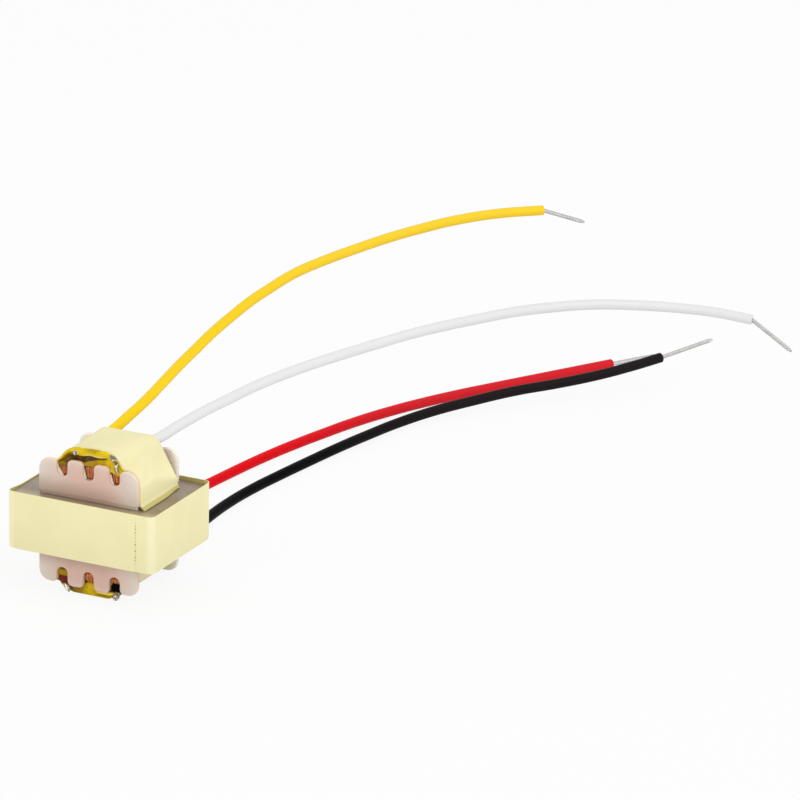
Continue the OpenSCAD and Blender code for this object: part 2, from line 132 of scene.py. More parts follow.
def begin_finish(name):
    """A new material and the wire of its Object coordinates."""
    material = bpy.data.materials.new(name)
    material.use_nodes = True
    material.node_tree.nodes.clear()
    return material, Wire(material.node_tree).node("TexCoord", {}, {}, "Object")


def end_finish(place, sockets):
    """Closes a material with one main shader."""
    shader = place.node("BsdfPrincipled", {}, sockets)
    place.node("OutputMaterial", {}, {"Surface": shader})


def mottle(place, size, detail=2.0):
    """Cloudy variation from 0 to 1, in patches about as wide as size."""
    return place.node("TexNoise", {}, {"Vector": place, "Scale": 1 / size, "Detail": detail})


def stretched(place, x, y, z):
    """Coordinates that run faster or slower along each axis."""
    return place.node("Mapping", {"vector_type": "POINT"}, {"Vector": place, "Scale": (x, y, z)})


def bumped(place, height, depth, strength=1.0):
    """A normal that follows a height from 0 to 1, as deep as depth."""
    return place.node("Bump", {}, {"Height": height, "Distance": depth, "Strength": strength}, "Normal")


def dress(node, material):
    """Gives a CAD solid its finish."""
    frame["nodes"][node].material_slots[0].material = material


MM = 0.001
line_stretch = 0.12
line_width = 0.12 * MM
line_depth = 0.008 * MM
patch_width = 2.2 * MM
steel, at = begin_finish("annealed_steel")
rolling = mottle(stretched(at, line_stretch, 1.0, 1.0), line_width, 4.0)
patches = mottle(at, patch_width, 3.0)
skin = patches.rise(0.35, 0.7).between(paint(153, 138, 121), paint(140, 123, 106))
# Painted light and reflection: the front strip of the steel, between the band and the flange, is painted
# paler than the skin, and paler still towards the right.
front_strip_painted_light = at.axis("X").rise(0.5 * MM, 4.5 * MM).between(paint(176, 159, 133), paint(196, 180, 148))
front_yoke = 1 - at.axis("Y").rise(-4.6 * MM, -3 * MM)
end_finish(at, {
    "Base Color": front_yoke.between(skin, front_strip_painted_light),
    "Metallic": 0.3,
    "Roughness": 0.28 + 0.16 * rolling,
    "Normal": bumped(at, rolling, line_depth, 0.6),
})
layers = 13
for layer in range(1, layers + 1):
    dress(f"e_lamination_{layer:02d}", steel)
    dress(f"i_lamination_{layer:02d}", steel)


# Bobbin
# One moulding of natural nylon: a square tube with a toothed flange at each end.
# The mould leaves every edge a little round, and the copper inside tints the thin walls pink.
def make_active(piece):
    """Selects one piece alone."""
    bpy.ops.object.select_all(action="DESELECT")
    piece.select_set(True)
    bpy.context.view_layer.objects.active = piece


merge_reach = 1e-7
flat_angle = math.radians(0.3)


def merged_copy(node, name):
    """A copy of a CAD solid with its loose triangles merged and its flat faces whole."""
    piece = frame["nodes"][node].copy()
    piece.data = piece.data.copy()
    piece.name = name
    piece.parent = None
    del piece["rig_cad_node"]
    del piece["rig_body"]
    bpy.context.scene.collection.objects.link(piece)
    make_active(piece)
    bpy.ops.mesh.customdata_custom_splitnormals_clear()
    bpy.ops.object.mode_set(mode="EDIT")
    bpy.ops.mesh.select_all(action="SELECT")
    bpy.ops.mesh.remove_doubles(threshold=merge_reach)
    bpy.ops.mesh.dissolve_limited(angle_limit=flat_angle)
    bpy.ops.object.mode_set(mode="OBJECT")
    return piece


def shade_smoothly(piece, sharpest):
    """Shades a piece smooth but for the edges that turn by more than an angle in degrees."""
    make_active(piece)
    bpy.ops.object.shade_smooth_by_angle(angle=math.radians(sharpest))


def round_edges(piece, width, segments, sharpest):
    """Bevels every edge that turns by more than an angle in degrees."""
    make_active(piece)
    bevel = piece.modifiers.new("rounded", "BEVEL")
    bevel.width = width
    bevel.segments = segments
    bevel.limit_method = "ANGLE"
    bevel.angle_limit = math.radians(sharpest)
    bpy.ops.object.modifier_apply(modifier=bevel.name)
    shade_smoothly(piece, sharpest)


def settle(piece, material, slot, *stands_for):
    """Gives a finished piece its material and its body, and hides the CAD solids that it stands for. The
    slot is not used.
    """
    piece.data.materials.clear()
    piece.data.materials.append(material)
    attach(piece, "root")
    if stands_for:
        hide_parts(*stands_for)


bobbin_low, bobbin_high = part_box("bobbin")
axis_height = (bobbin_low.z + bobbin_high.z) / 2
axis_level = axis_height / MM
nylon, at = begin_finish("natural_nylon")
from_middle = abs(at.axis("X"))
from_axis = abs(at.axis("Z") - axis_height)
cloud = mottle(at, 3 * MM, 1.0)
blush = (1 - from_middle.rise(1.5 * MM, 5.2 * MM)) * (1 - from_axis.rise(5 * MM, 6.8 * MM))
# Painted shade: near the steel, at the feet of the lobes, the nylon is painted darker, and more so on the
# left side.
shaded_side = 1 - 0.8 * at.axis("X").rise(0.5 * MM, 4 * MM)
lobe_foot_shade = (1 - from_axis.rise(2.8 * MM, 4.6 * MM)) * shaded_side
# Painted light: the rear flange is painted paler, for light that shines through it from behind.
plain_and_rear_painted_light = at.axis("Y").rise(3 * MM, 3.4 * MM).between(paint(231, 221, 210), paint(250, 243, 232))
pink = (blush * (0.6 + 0.5 * cloud)).between(plain_and_rear_painted_light, paint(226, 188, 172))
outside = (0.7 * lobe_foot_shade).between(pink, paint(200, 174, 158))
# Painted light: the walls of the slots behind the front lobes are painted a paler pink, for light that
# comes through the thin nylon.
behind_front = at.axis("Y").rise(-3.77 * MM, -3.62 * MM) * (1 - at.axis("Y").rise(-2.4 * MM, -2.2 * MM))
slot_walls_painted_light = behind_front * from_axis.rise(2.8 * MM, 3.4 * MM)
end_finish(at, {
    "Base Color": slot_walls_painted_light.between(outside, paint(255, 216, 192)),
    "Roughness": 0.38 + 0.12 * mottle(at, 0.4 * MM, 3.0),
    "Subsurface Weight": 0.6,
    "Subsurface Radius": (1.0, 0.8, 0.7),
    "Subsurface Scale": 0.35 * MM,
    "Normal": bumped(at, mottle(at, 0.25 * MM, 2.0), 0.006 * MM),
})
mould_round = 0.12 * MM
mould_angle = 28

# Sizes of the thin walls in mm, with heights from the axis of the coil
slot_columns = (-1, 0, 1)
both_ways = (-1, 1)
slot_pitch = 2.6
slot_half = 0.525
slot_bend = 4.76
channel_wall = 0.14
channel_reach = 0.42
channel_mouth = 3.36
channel_length = 0.9
web_edges = {-1: (0.15, -0.5), 0: (-0.22, -0.46), 1: (-0.1, -0.42)}
web_root = -0.54
web_y = -3.6
web_floor = 4.22
web_height = 0.98
skirt_half = 4.75
skirt_y = 3.46
skirt_foot = 2.3
skirt_height = 0.5
skirt_wall = 0.2


def joined(pieces, name):
    """Makes one mesh of several pieces."""
    bpy.ops.object.select_all(action="DESELECT")
    for piece in pieces:
        piece.select_set(True)
    bpy.context.view_layer.objects.active = pieces[0]
    bpy.ops.object.convert(target="MESH")
    if len(pieces) > 1:
        bpy.ops.object.join()
    pieces[0].name = name
    pieces[0].data.name = name
    return pieces[0]


def laid_sheet(name, columns, rows, form):
    """A grid laid out by a formula that takes two shares from 0 to 1 and gives a place in mm."""
    bpy.ops.object.select_all(action="DESELECT")
    bpy.ops.mesh.primitive_grid_add(x_subdivisions=columns, y_subdivisions=rows, size=1)
    piece = bpy.context.object
    piece.name = name
    for vertex in piece.data.vertices:
        vertex.co = Vector(form(vertex.co.x + 0.5, vertex.co.y + 0.5)) * MM
    return piece


def give_wall(piece, thickness, offset):
    """Makes a sheet as thick as tape or a moulded wall, in mm."""
    make_active(piece)
    wall = piece.modifiers.new("wall", "SOLIDIFY")
    wall.thickness = thickness * MM
    wall.offset = offset
    bpy.ops.object.modifier_apply(modifier=wall.name)


def slot_channel(slot_x, way, end):
    """The trough that leads a slot on from the thin lobe to the winding."""
    radius = slot_half + channel_wall / 2
    bend = math.pi * radius

    def form(along, over):
        run = along * (bend + 2 * channel_reach) - channel_reach
        turn = min(max(run / radius, 0), math.pi)
        straight = max(-run, 0) + max(run - bend, 0)
        rise = slot_bend - radius * math.sin(turn) + straight
        y = end * (channel_mouth - channel_length * over)
        return slot_x - radius * math.cos(turn), y, axis_level + way * rise

    piece = laid_sheet("slot_channel", columns=24, rows=2, form=form)
    give_wall(piece, channel_wall, offset=0)
    return piece


def slot_web(slot_x, low_edge, high_edge):
    """The thin web that narrows an upper front slot from the left, more at its floor than at its mouth."""

    def form(along, over):
        edge = low_edge + (high_edge - low_edge) * over
        x = slot_x + web_root + along * (edge - web_root)
        return x, web_y, axis_level + web_floor + web_height * over

    piece = laid_sheet("slot_web", columns=6, rows=8, form=form)
    give_wall(piece, channel_wall, offset=0)
    return piece


def lobe_skirt(way, end):
    """The low wall that carries the foot of a lobe down to the steel."""

    def form(along, over):
        rise = skirt_foot + skirt_height * over
        return 2 * skirt_half * along - skirt_half, end * skirt_y, axis_level + way * rise

    piece = laid_sheet("lobe_skirt", columns=12, rows=1, form=form)
    give_wall(piece, skirt_wall, offset=0)
    return piece


bobbin = merged_copy("bobbin", "moulded_bobbin")
round_edges(bobbin, mould_round, segments=3, sharpest=mould_angle)
channels = [
    slot_channel(column * slot_pitch, way, end)
    for column in slot_columns for way in both_ways for end in both_ways
]
webs = [slot_web(column * slot_pitch, low, high) for column, (low, high) in web_edges.items()]
skirts = [lobe_skirt(way, end) for way in both_ways for end in both_ways]
bobbin = joined([bobbin] + channels + webs + skirts, "moulded_bobbin")
shade_smoothly(bobbin, mould_angle)
settle(bobbin, nylon, "bobbin_nylon", "bobbin")


# Windings
# Two coils of fine enamelled copper wire, laid turn beside turn on the bobbin tube.
# A turn of thin polyester film lies between them.
turn_waves = 2400.0
turn_depth = 0.03 * MM
copper, at = begin_finish("enamelled_copper")
turns = at.node("TexWave", {"bands_direction": "Y"}, {"Vector": at, "Scale": turn_waves, "Distortion": 0.4})
end_finish(at, {
    "Base Color": mottle(at, 0.5 * MM).between(paint(220, 136, 94), paint(192, 102, 62)),
    "Metallic": 0.45,
    "Roughness": 0.3,
    "Coat Weight": 0.4,
    "Normal": bumped(at, turns, turn_depth),
})
dress("primary_winding", copper)
dress("secondary_winding", copper)
inner_film, at = begin_finish("inner_film")
end_finish(at, {
    "Base Color": mottle(at, 0.7 * MM).between(paint(226, 196, 40), paint(196, 160, 24)),
    "Roughness": 0.2 + 0.1 * mottle(at, 0.3 * MM),
})
dress("interlayer_tape", inner_film)


# Magnet-wire tails
# The ends of the windings: a few bare copper strands that leave the coil through each slot of the
# front flange. The upper ones turn up behind the film, and the lower ones turn down to the leads.
def laid_wire(name, points, diameter, roundness):
    """A round wire on a smooth line through the points, as a curve of one open spline."""
    line = bpy.data.curves.new(name, "CURVE")
    line.dimensions = "3D"
    line.bevel_depth = diameter / 2
    line.bevel_resolution = roundness
    line.use_fill_caps = True
    spline = line.splines.new("BEZIER")
    spline.bezier_points.add(len(points) - 1)
    for knot, point in zip(spline.bezier_points, points):
        knot.co = point
        knot.handle_left_type = "AUTO"
        knot.handle_right_type = "AUTO"
    piece = bpy.data.objects.new(name, line)
    bpy.context.scene.collection.objects.link(piece)
    return piece


strand, at = begin_finish("bare_copper_strand")
end_finish(at, {
    "Base Color": mottle(at, 0.3 * MM).between(paint(216, 138, 84), paint(176, 100, 50)),
    "Metallic": 0.8,
    "Roughness": 0.26 + 0.12 * mottle(at, 0.2 * MM),
    "Coat Weight": 0.3,
})
fan_wire = 0.14
fan_offsets = [fan_wire * number for number in range(-3, 4)]
fan_sway = 0.045
sway_step = 2.1
coil_front = -2.42
slot_floor = 4.38
floor_end = 0.2
upper_shift = 0.1
upper_paths = {
    "left": [(0.5, -3.38, 4.42), (0.8, -3.42, 4.75), (1.1, -3.42, 5.1), (0.8, -3.1, 5.5)],
    "middle": [(0.6, -3.38, 4.42), (0.8, -3.42, 4.8), (1.0, -3.44, 5.25), (0.8, -3.2, 5.7)],
    "right": [(0.5, -3.38, 4.42), (0.75, -3.42, 4.8), (0.9, -3.42, 5.15), (0.7, -3.15, 5.55)],
}
lower_paths = {
    "left": [(0.6, -3.48, 4.54), (1.0, -3.5, 4.68), (0.9, -3.42, 4.86)],
    "middle": [(0.6, -3.48, 4.54), (0.9, -3.46, 4.75), (0.8, -3.4, 5.05), (0.6, -3.15, 5.3)],
    "right": [(0.6, -3.48, 4.54), (0.9, -3.5, 4.68), (0.8, -3.42, 4.84)],
}


def strand_fan(name, slot_x, way, path):
    """Strands that come through a slot side by side. Each step of the path gives the spread of the fan,
    then its depth and its height from the axis, up or down."""
    fan = []
    for number, offset in enumerate(fan_offsets):
        sway = fan_sway * math.sin(sway_step * number + slot_x)
        spread, depth, _ = path[0]
        steps = [
            (slot_x + spread * offset, coil_front, slot_floor),
            (slot_x + spread * offset, depth + floor_end, slot_floor),
        ]
        steps += [(slot_x + wide * offset + sway, y - sway, z) for wide, y, z in path]
        points = [Vector((x, y, axis_level + way * z)) * MM for x, y, z in steps]
        fan.append(laid_wire("strand", points, fan_wire * MM, roundness=3))
    return joined(fan, name)


for column, side in zip(slot_columns, ("left", "middle", "right")):
    slot_x = column * slot_pitch
    upper_tail = strand_fan(f"upper_{side}_strands", slot_x + upper_shift, 1, upper_paths[side])
    settle(upper_tail, strand, "copper", f"upper_{side}_tail")
    lower_tail = strand_fan(f"lower_{side}_strands", slot_x, -1, lower_paths[side])
    settle(lower_tail, strand, "copper", f"lower_{side}_tail")


# Leads
# Four lengths of hook-up wire in yellow, white, red and black insulation, cut to about 80 mm.
# The upper two spring out level from under the wrap, and the lower two lie on the bench.
lead_routes = {
    "yellow": [
        (-1.6, -2.1, 12.9), (-1.6, 0.6, 12.9), (-1.6, 3.2, 12.9), (-2, 7, 13), (-2.6, 11.5, 13.1),
        (-3.4, 16, 13.2), (-4.2, 20.5, 13.3), (-5, 25, 13.3), (-5.7, 29.5, 13.4), (-6.3, 34, 13.4),
        (-6.7, 38.5, 13.5), (-6.9, 43, 13.5), (-6.8, 47.5, 13.6), (-6.2, 52, 13.6), (-5.2, 56.6, 13.6),
        (-4, 61.2, 13.6), (-2.7, 65.6, 13.5), (-1, 70, 13.4), (1.3, 74.3, 13.2), (4.3, 77.9, 13),
    ],
    "white": [
        (2, -2.1, 12.9), (2.2, 0.6, 12.9), (2.8, 3.2, 12.9), (3, 7, 13), (3.3, 11.2, 13.1),
        (3.7, 15.3, 13.1), (4.3, 19.4, 13.2), (5.1, 23.4, 13.2), (6.1, 27.3, 13.2), (7.3, 31.1, 13.2),
        (8.6, 34.9, 13.2), (10, 38.7, 13.2), (11.5, 42.4, 13.1), (13.2, 46, 13), (15.1, 49.6, 12.9),
        (17.3, 53, 12.7), (20, 56.1, 12.5), (23.2, 59, 12.1), (26.7, 61.3, 11.7), (29.8, 62.6, 11.4),
        (32.9, 63.4, 11),
    ],
    "red": [
        (-2.6, -3.4, 1.2), (-2.6, -0.8, 1.1), (-2.6, 1.8, 1), (-2.6, 4.4, 0.9), (-3.2, 8.2, 0.6),
        (-3.9, 12.4, 0.5), (-4.3, 16.8, 0.5), (-4.2, 21.2, 0.5), (-3.7, 25.5, 0.5), (-3.2, 29.7, 0.5),
        (-2.6, 33.9, 0.5), (-1.8, 38.1, 0.5), (-0.8, 42.3, 0.5), (0.3, 46.4, 0.5), (1.7, 50.4, 0.5),
        (3.4, 54.3, 0.5), (5.4, 58.2, 0.5), (7.6, 62, 0.5), (9.8, 65.7, 0.5), (12, 69.4, 0.5),
        (14.2, 73.1, 0.5),
    ],
    "black": [
        (2.6, -3.4, 1.2), (2.6, -0.8, 1.1), (2.6, 1.8, 1), (2.6, 4.4, 0.9), (1.9, 8.6, 0.6),
        (0.9, 12.9, 0.5), (0.4, 17.4, 0.5), (0.2, 21.8, 0.5), (0.4, 26.2, 0.5), (0.9, 30.6, 0.5),
        (1.5, 35, 0.5), (2.3, 39.3, 0.6), (3.1, 43.6, 0.6), (4.2, 47.8, 0.7), (5.9, 51.9, 0.9),
        (8.1, 55.8, 1.1), (10.7, 59.4, 1.4), (13.5, 62.7, 1.6), (16.2, 66, 1.9), (18.3, 69.2, 2.2),
        (19.8, 72.1, 2.4),
    ],
}
insulation_paints = {
    "yellow": (paint(254, 215, 0), paint(254, 215, 50)),
    "white": (paint(233, 233, 233), paint(230, 230, 231)),
    "red": (paint(236, 5, 23), paint(224, 38, 48)),
    "black": (paint(2, 2, 2), paint(34, 29, 31)),
}
insulation_shine = {"yellow": 0.06, "white": 0.3, "red": 0.05, "black": 0.03}
lead_diameter = 0.00095
pale_from = 30 * MM
pale_to = 58 * MM


def insulation(colour):
    """Extruded plastic insulation with faint draw lines. The colour pales a little towards the free end."""
    material, place = begin_finish(f"{colour}_insulation")
    near, far = insulation_paints[colour]
    drawn = mottle(stretched(place, 1.0, 0.06, 1.0), 0.25 * MM, 3.0)
    end_finish(place, {
        "Base Color": place.axis("Y").rise(pale_from, pale_to).between(near, far),
        "Roughness": 0.36 + 0.1 * drawn,
        "Specular IOR Level": insulation_shine[colour],
        "Normal": bumped(place, drawn, 0.001 * MM),
    })
    return material


for colour, route in lead_routes.items():
    points = [Vector(point) * MM for point in route]
    lead = laid_wire(f"{colour}_hookup_wire", points, lead_diameter, roundness=6)
    settle(lead, insulation(colour), f"{colour}_insulation", f"{colour}_lead")


# Tinned ends
# The bare end of each lead: seven fine strands twisted together and fused by a dip in solder.
# Each end goes on from the insulation in the direction in which the lead stops.
tinned, at = begin_finish("tinned_strands")
end_finish(at, {
    "Base Color": mottle(at, 0.6 * MM).between(paint(206, 206, 205), paint(168, 167, 164)),
    "Metallic": 0.85,
    "Roughness": 0.3 + 0.15 * mottle(at, 0.2 * MM),
})
bare_ends = {
    "yellow": ((3, 3.1, -1.6), 4.6),
    "white": ((3.7, 0.8, -2.7), 4.7),
    "red": ((2.8, 4.5, 0), 5.2),
    "black": ((3.4, 4.3, 1.1), 5.6),
}
strand_radius = 0.2 * MM / 3
twist_pitch = 1.9 * MM
twist_steps_per_turn = 14
lobes = 6
lobe_angles = (-90, -45, 0, 45, 90)
tip_steps = 3
tip_taper = 0.8
rope_crease = 50


def twisted_end(name, start, ahead, length):
    """A rope of fused strands, extruded step by step with a turn at each step."""
    corners = lobes * len(lobe_angles)
    bpy.ops.object.select_all(action="DESELECT")
    bpy.ops.mesh.primitive_circle_add(vertices=corners, radius=strand_radius, fill_type="NGON")
    piece = bpy.context.object
    piece.name = name
    for number, vertex in enumerate(piece.data.vertices):
        turn = math.radians(360 / lobes * (number // len(lobe_angles)))
        swing = turn + math.radians(lobe_angles[number % len(lobe_angles)])
        vertex.co = Vector((math.cos(turn), math.sin(turn), 0)) * 2 * strand_radius
        vertex.co += Vector((math.cos(swing), math.sin(swing), 0)) * strand_radius
    steps = round(length / twist_pitch * twist_steps_per_turn)
    rise = length / steps
    bpy.ops.object.mode_set(mode="EDIT")
    bpy.ops.mesh.select_all(action="SELECT")
    for step in range(1, steps + 1):
        bpy.ops.mesh.extrude_region_move(TRANSFORM_OT_translate={"value": (0, 0, rise)})
        bpy.ops.transform.rotate(
            value=2 * math.pi / twist_steps_per_turn, orient_axis="Z", center_override=(0, 0, 0)
        )
        if steps - step < tip_steps:
            bpy.ops.transform.resize(value=(tip_taper, tip_taper, 1), center_override=(0, 0, step * rise))
    bpy.ops.mesh.select_all(action="SELECT")
    bpy.ops.mesh.normals_make_consistent(inside=False)
    bpy.ops.object.mode_set(mode="OBJECT")
    shade_smoothly(piece, rope_crease)
    piece.matrix_world = Matrix.Translation(start) @ ahead.to_track_quat("Z", "Y").to_matrix().to_4x4()
    bpy.ops.object.transform_apply(location=True, rotation=True, scale=True)
    return piece


for colour, (heading, strip) in bare_ends.items():
    start = Vector(lead_routes[colour][-1]) * MM
    end = twisted_end(f"{colour}_twisted_end", start, Vector(heading), strip * MM)
    settle(end, tinned, "solder", f"{colour}_tinned_end")


# Solder joints
# Lumps of bright solder where the tails are wrapped round the stripped leads: two at the front edge of
# the film and two under the flange. Two copper splices join the middle tails inside the coil.
solder, at = begin_finish("bright_solder")
end_finish(at, {
    "Base Color": mottle(at, 0.22 * MM).rise(0.38, 0.62).between(paint(226, 218, 200), paint(112, 98, 66)),
    "Metallic": 0.9,
    "Roughness": 0.2 + 0.2 * mottle(at, 0.15 * MM),
})
lump_grain = 0.55
lump_height = 0.5


def solder_lump(name, foot, tip, width):
    """A lumpy spindle of solder from foot to tip."""
    bpy.ops.object.select_all(action="DESELECT")
    bpy.ops.mesh.primitive_ico_sphere_add(subdivisions=4, radius=1)
    piece = bpy.context.object
    piece.name = name
    lumps = bpy.data.textures.new(name, "CLOUDS")
    lumps.noise_scale = lump_grain
    swell = piece.modifiers.new("lumps", "DISPLACE")
    swell.texture = lumps
    swell.strength = lump_height
    bpy.ops.object.modifier_apply(modifier=swell.name)
    bpy.ops.object.shade_smooth()
    reach = tip - foot
    turn = reach.to_track_quat("Z", "Y").to_matrix().to_4x4()
    size = Matrix.Diagonal((width / 2, width / 2, reach.length / 2, 1))
    piece.matrix_world = Matrix.Translation((foot + tip) / 2) @ turn @ size
    bpy.ops.object.transform_apply(location=True, rotation=True, scale=True)
    return piece


lump_places = {
    "yellow_joint": ((-1.27, -3.56, 13.4), (-1.38, -3.56, 12.8), 0.48),
    "white_joint": ((1.98, -3.54, 13.42), (2.74, -3.52, 12.8), 0.42),
    "red_joint": ((-2.46, -3.6, 0.88), (-1.86, -3.66, 0.18), 0.5),
    "black_joint": ((2.7, -3.6, 0.94), (2.7, -3.66, 0.14), 0.62),
    "upper_splice": ((0, -1.7, 12.37), (0, -1.15, 12.37), 0.45),
    "lower_splice": ((0, -1.7, 0.7), (0, -1.15, 0.7), 0.45),
}
tinned_tail = [(2.76, -3.5, 12.75), (2.66, -3.62, 12.5), (2.74, -3.64, 12.2), (2.8, -3.6, 11.95)]
tinned_tail_width = 0.32
for node, (foot, tip, width) in lump_places.items():
    lump = solder_lump(f"{node}_lump", Vector(foot) * MM, Vector(tip) * MM, width * MM)
    if node == "white_joint":
        points = [Vector(point) * MM for point in tinned_tail]
        tail = laid_wire("tinned_tail", points, tinned_tail_width * MM, roundness=4)
        lump = joined([lump, tail], lump.name)
    settle(lump, strand if node.endswith("splice") else solder, "solder", node)


# Film
# Thin amber polyester film, wound over the coil and the joints and pressed down at the front.
# It is glossy and rolled over in front, with brown painted shade and a pale painted highlight, and covers
# the red lead's end.
film, at = begin_finish("amber_film")
crinkle = mottle(at, 0.6 * MM, 3.0)
tone = at.node("Attribute", {"attribute_name": "film_tone"}, {}, "Fac") + 0.3 * (crinkle - 0.5)
# Tone 0 is a pale painted highlight; towards 1 the amber turns olive and dark brown, mostly painted shade.
amber = tone.rise(0.02, 0.3).between(paint(255, 244, 140), paint(230, 198, 4))
amber = tone.rise(0.3, 0.6).between(amber, paint(170, 136, 8))
amber = tone.rise(0.6, 0.95).between(amber, paint(72, 44, 4))
# Painted light: behind the front of the flange the film is painted pale, most of all on the lower hump, for
# the light that the floor throws up.
behind = at.axis("Y").rise(-2.6 * MM, -2.2 * MM)
end_finish(at, {
    "Base Color": behind.between(amber, paint(240, 230, 160)),
    "Roughness": 0.1 + 0.12 * crinkle,
    "Specular IOR Level": 0.12,
    "Normal": bumped(at, crinkle, 0.08 * MM),
})

# Sizes of the film in mm
film_front = -3.25
film_thickness = 0.05
film_reach = 2.38
film_crease = 35
arch_radius = 2.01
arch_half = 1.2
arch_level = axis_level + 5.145
arch_turn = math.radians(85)
hood_foot = axis_level + 5.385
hood_lift = 0.28
cover_tone = 0.45
pull_aside = 0.22
pull_down = 0.24
shoulder_drop = 0.3


def eased(value, start, end):
    """0 before start, 1 after end, and smooth between them."""
    share = min(max((value - start) / (end - start), 0), 1)
    return share * share * (3 - 2 * share)


def hump(value, middle, half):
    """1 in the middle, falling to 0 on both sides."""
    return max(1 - ((value - middle) / half) ** 2, 0)


def drawn_in(x, y, z):
    """The place of a point of the tapes once they are pulled tight over the left of the arch."""
    front = min(max((film_reach - y) / (2 * film_reach), 0), 1)
    arch = front * eased(x, 0.2, -1.4) * eased(z, 11.9, 12.7)
    shoulder = front * eased(x, -3.2, -3.5) * eased(z, 11.2, 12.1)
    return x + pull_aside * arch, y, z - pull_down * arch - shoulder_drop * shoulder


def film_sheet(name, columns, rows, form, tone):
    """A sheet of film with its thickness, and with its tone kept as an attribute."""
    tones = []

    def toned_form(along, over):
        tones.append(tone(along, over))
        return form(along, over)

    piece = laid_sheet(name, columns, rows, toned_form)
    piece.data.attributes.new("film_tone", "FLOAT", "POINT").data.foreach_set("value", tones)
    give_wall(piece, film_thickness, offset=-1)
    return piece


rim_width = 0.24
rim_swell = 0.54
rim_ripple = 0.07
rim_gap = 0.015
rim_bulge = 0.05
rim_bulge_swell = 0.26
left_limb_out = 0.16
left_limb_forward = 0.12
right_limb_out = 0.26


def rolled_rim(along, over):
    """Half-round roll on the front of the arch, from the left foot to the right one and widest between."""
    curve = arch_radius * arch_turn
    run = along * (2 * curve + 2 * arch_half)
    before = min(run, curve) / arch_radius
    after = max(run - curve - 2 * arch_half, 0) / arch_radius
    swing = math.pi / 2 + arch_turn - before - after
    centre = min(max(run - curve, 0), 2 * arch_half) - arch_half
    swell = math.sin(math.pi * along)
    width = (rim_width + rim_swell * swell) * (1 + rim_ripple * math.sin(23 * along))
    left = 1 - eased(along, 0.3, 0.5)
    right = eased(along, 0.8, 1)
    inward = width * (1 + math.cos(math.pi * over)) / 2
    reach = arch_radius - inward + left_limb_out * left + right_limb_out * right
    bulge = (rim_bulge + rim_bulge_swell * swell) * math.sin(math.pi * over)
    x = centre + reach * math.cos(swing)
    y = film_front - rim_gap - left_limb_forward * left - bulge
    return drawn_in(x, y, arch_level + reach * math.sin(swing))


def rim_tone(along, over):
    """Painted shade, brown inside the left limb and darker along the outer edge under the wrap, a pale
    painted highlight along the lip in the middle, and olive above it.
    """
    brown = (1 - eased(along, 0.2, 0.36)) * (1 - eased(over, 0.35, 0.65))
    lip = eased(along, 0.36, 0.44) * (1 - eased(along, 0.7, 0.8)) * (1 - eased(over, 0.2, 0.42))
    olive = hump(along, 0.52, 0.13) * hump(over, 0.75, 0.3)
    outer_edge_shade = eased(over, 0.88, 1)
    return 0.3 + 0.5 * brown - 0.28 * lip + 0.24 * olive + 0.2 * outer_edge_shade


face_half = 3.2
face_edge = 12.12
face_crest = 0.3
face_sag = 0.055
face_least = 0.05
roll_overlap = 0.06
face_gap = 0.012
face_lean = 0.06
face_lean_in_slot = 0.32


def face_place(along, over):
    """A place on the front face of the film: x, and z between its loose edge and the roll."""
    x = 2 * face_half * along - face_half
    low = face_edge - face_sag * (x - face_crest) ** 2
    beyond = max(abs(x) - arch_half, 0)
    under_roll = arch_level + math.sqrt(max(arch_radius ** 2 - beyond ** 2, 0)) - roll_overlap
    top = max(under_roll, low + face_least)
    return x, low + (top - low) * over


def in_slot(x):
    """1 across each of the three slots and 0 between them."""
    return max(1 - eased(abs(x - column * slot_pitch), 0.4, 0.8) for column in slot_columns)


def film_face(along, over):
    """Film under the roll, down to its loose edge in the slots."""
    x, z = face_place(along, over)
    lean = (face_lean + face_lean_in_slot * in_slot(x)) * (1 - over) ** 2
    forward = face_gap + lean + 0.01 * math.sin(21 * along)
    return drawn_in(x, film_front - forward, z)


def face_tone(along, over):
    """Painted shade: dark close under the roll, as its shadow, and behind the left joint, and brown on the
    left. Olive above the slots.
    """
    x, z = face_place(along, over)
    right = eased(x, 1.3, 1.8)
    # Painted shadow of the roll, a dark line close under it
    line = eased(z, 12.45 + 0.2 * x, 12.6 + 0.2 * x) * (1 - right)
    left = eased(x, -0.4, -0.8)
    far_left = eased(x, -1.7, -2.5)
    loose = in_slot(x) * (1 - eased(over, 0.1, 0.4)) * (1 - eased(x, 0.4, 1.5))
    return 0.46 + 0.45 * max(line, 0.6 * left) - 0.1 * far_left - 0.1 * right + 0.14 * loose


peak_front = -3.3
peak_foot = 0.45
peak_top = 1.27
peak_slope = 0.6


def low_peak(along, over):
    """Film pushed up into the lower middle slot."""
    x = 2 * along - 1
    top = peak_top - peak_slope * x ** 2
    return x, peak_front + 0.03 * math.sin(9 * along), peak_foot + (top - peak_foot) * over


def peak_tone(along, over):
    """A little browner along the upper edge."""
    return 0.42 + 0.2 * eased(over, 0.7, 1)


flap_front = -3.38
flap_bulge = 0.22
flap_top = 2.28
flap_edge = 0.95
flap_slope = 0.35
flap_left = 0.4


def slot_flap(along, over):
    """Film over the strands of the lower left slot."""
    low = flap_edge - flap_slope * along
    z = low + (flap_top - low) * over
    half = math.sqrt(max(slot_half ** 2 - max(z - (axis_level - slot_bend), 0) ** 2, 0.01))
    forward = flap_bulge * eased(z, 1.35, 1.7) * (1 + 0.3 * math.sin(math.pi * along))
    left = (1 - along) * flap_left * (1 - eased(z, 1.1, 1.6))
    return (2 * along - 1) * half - left - slot_pitch, flap_front - forward, z


def flap_tone(along, over):
    """Brown, and darkest at the upper edge."""
    return 0.6 + 0.3 * hump(over, 0.98, 0.2)


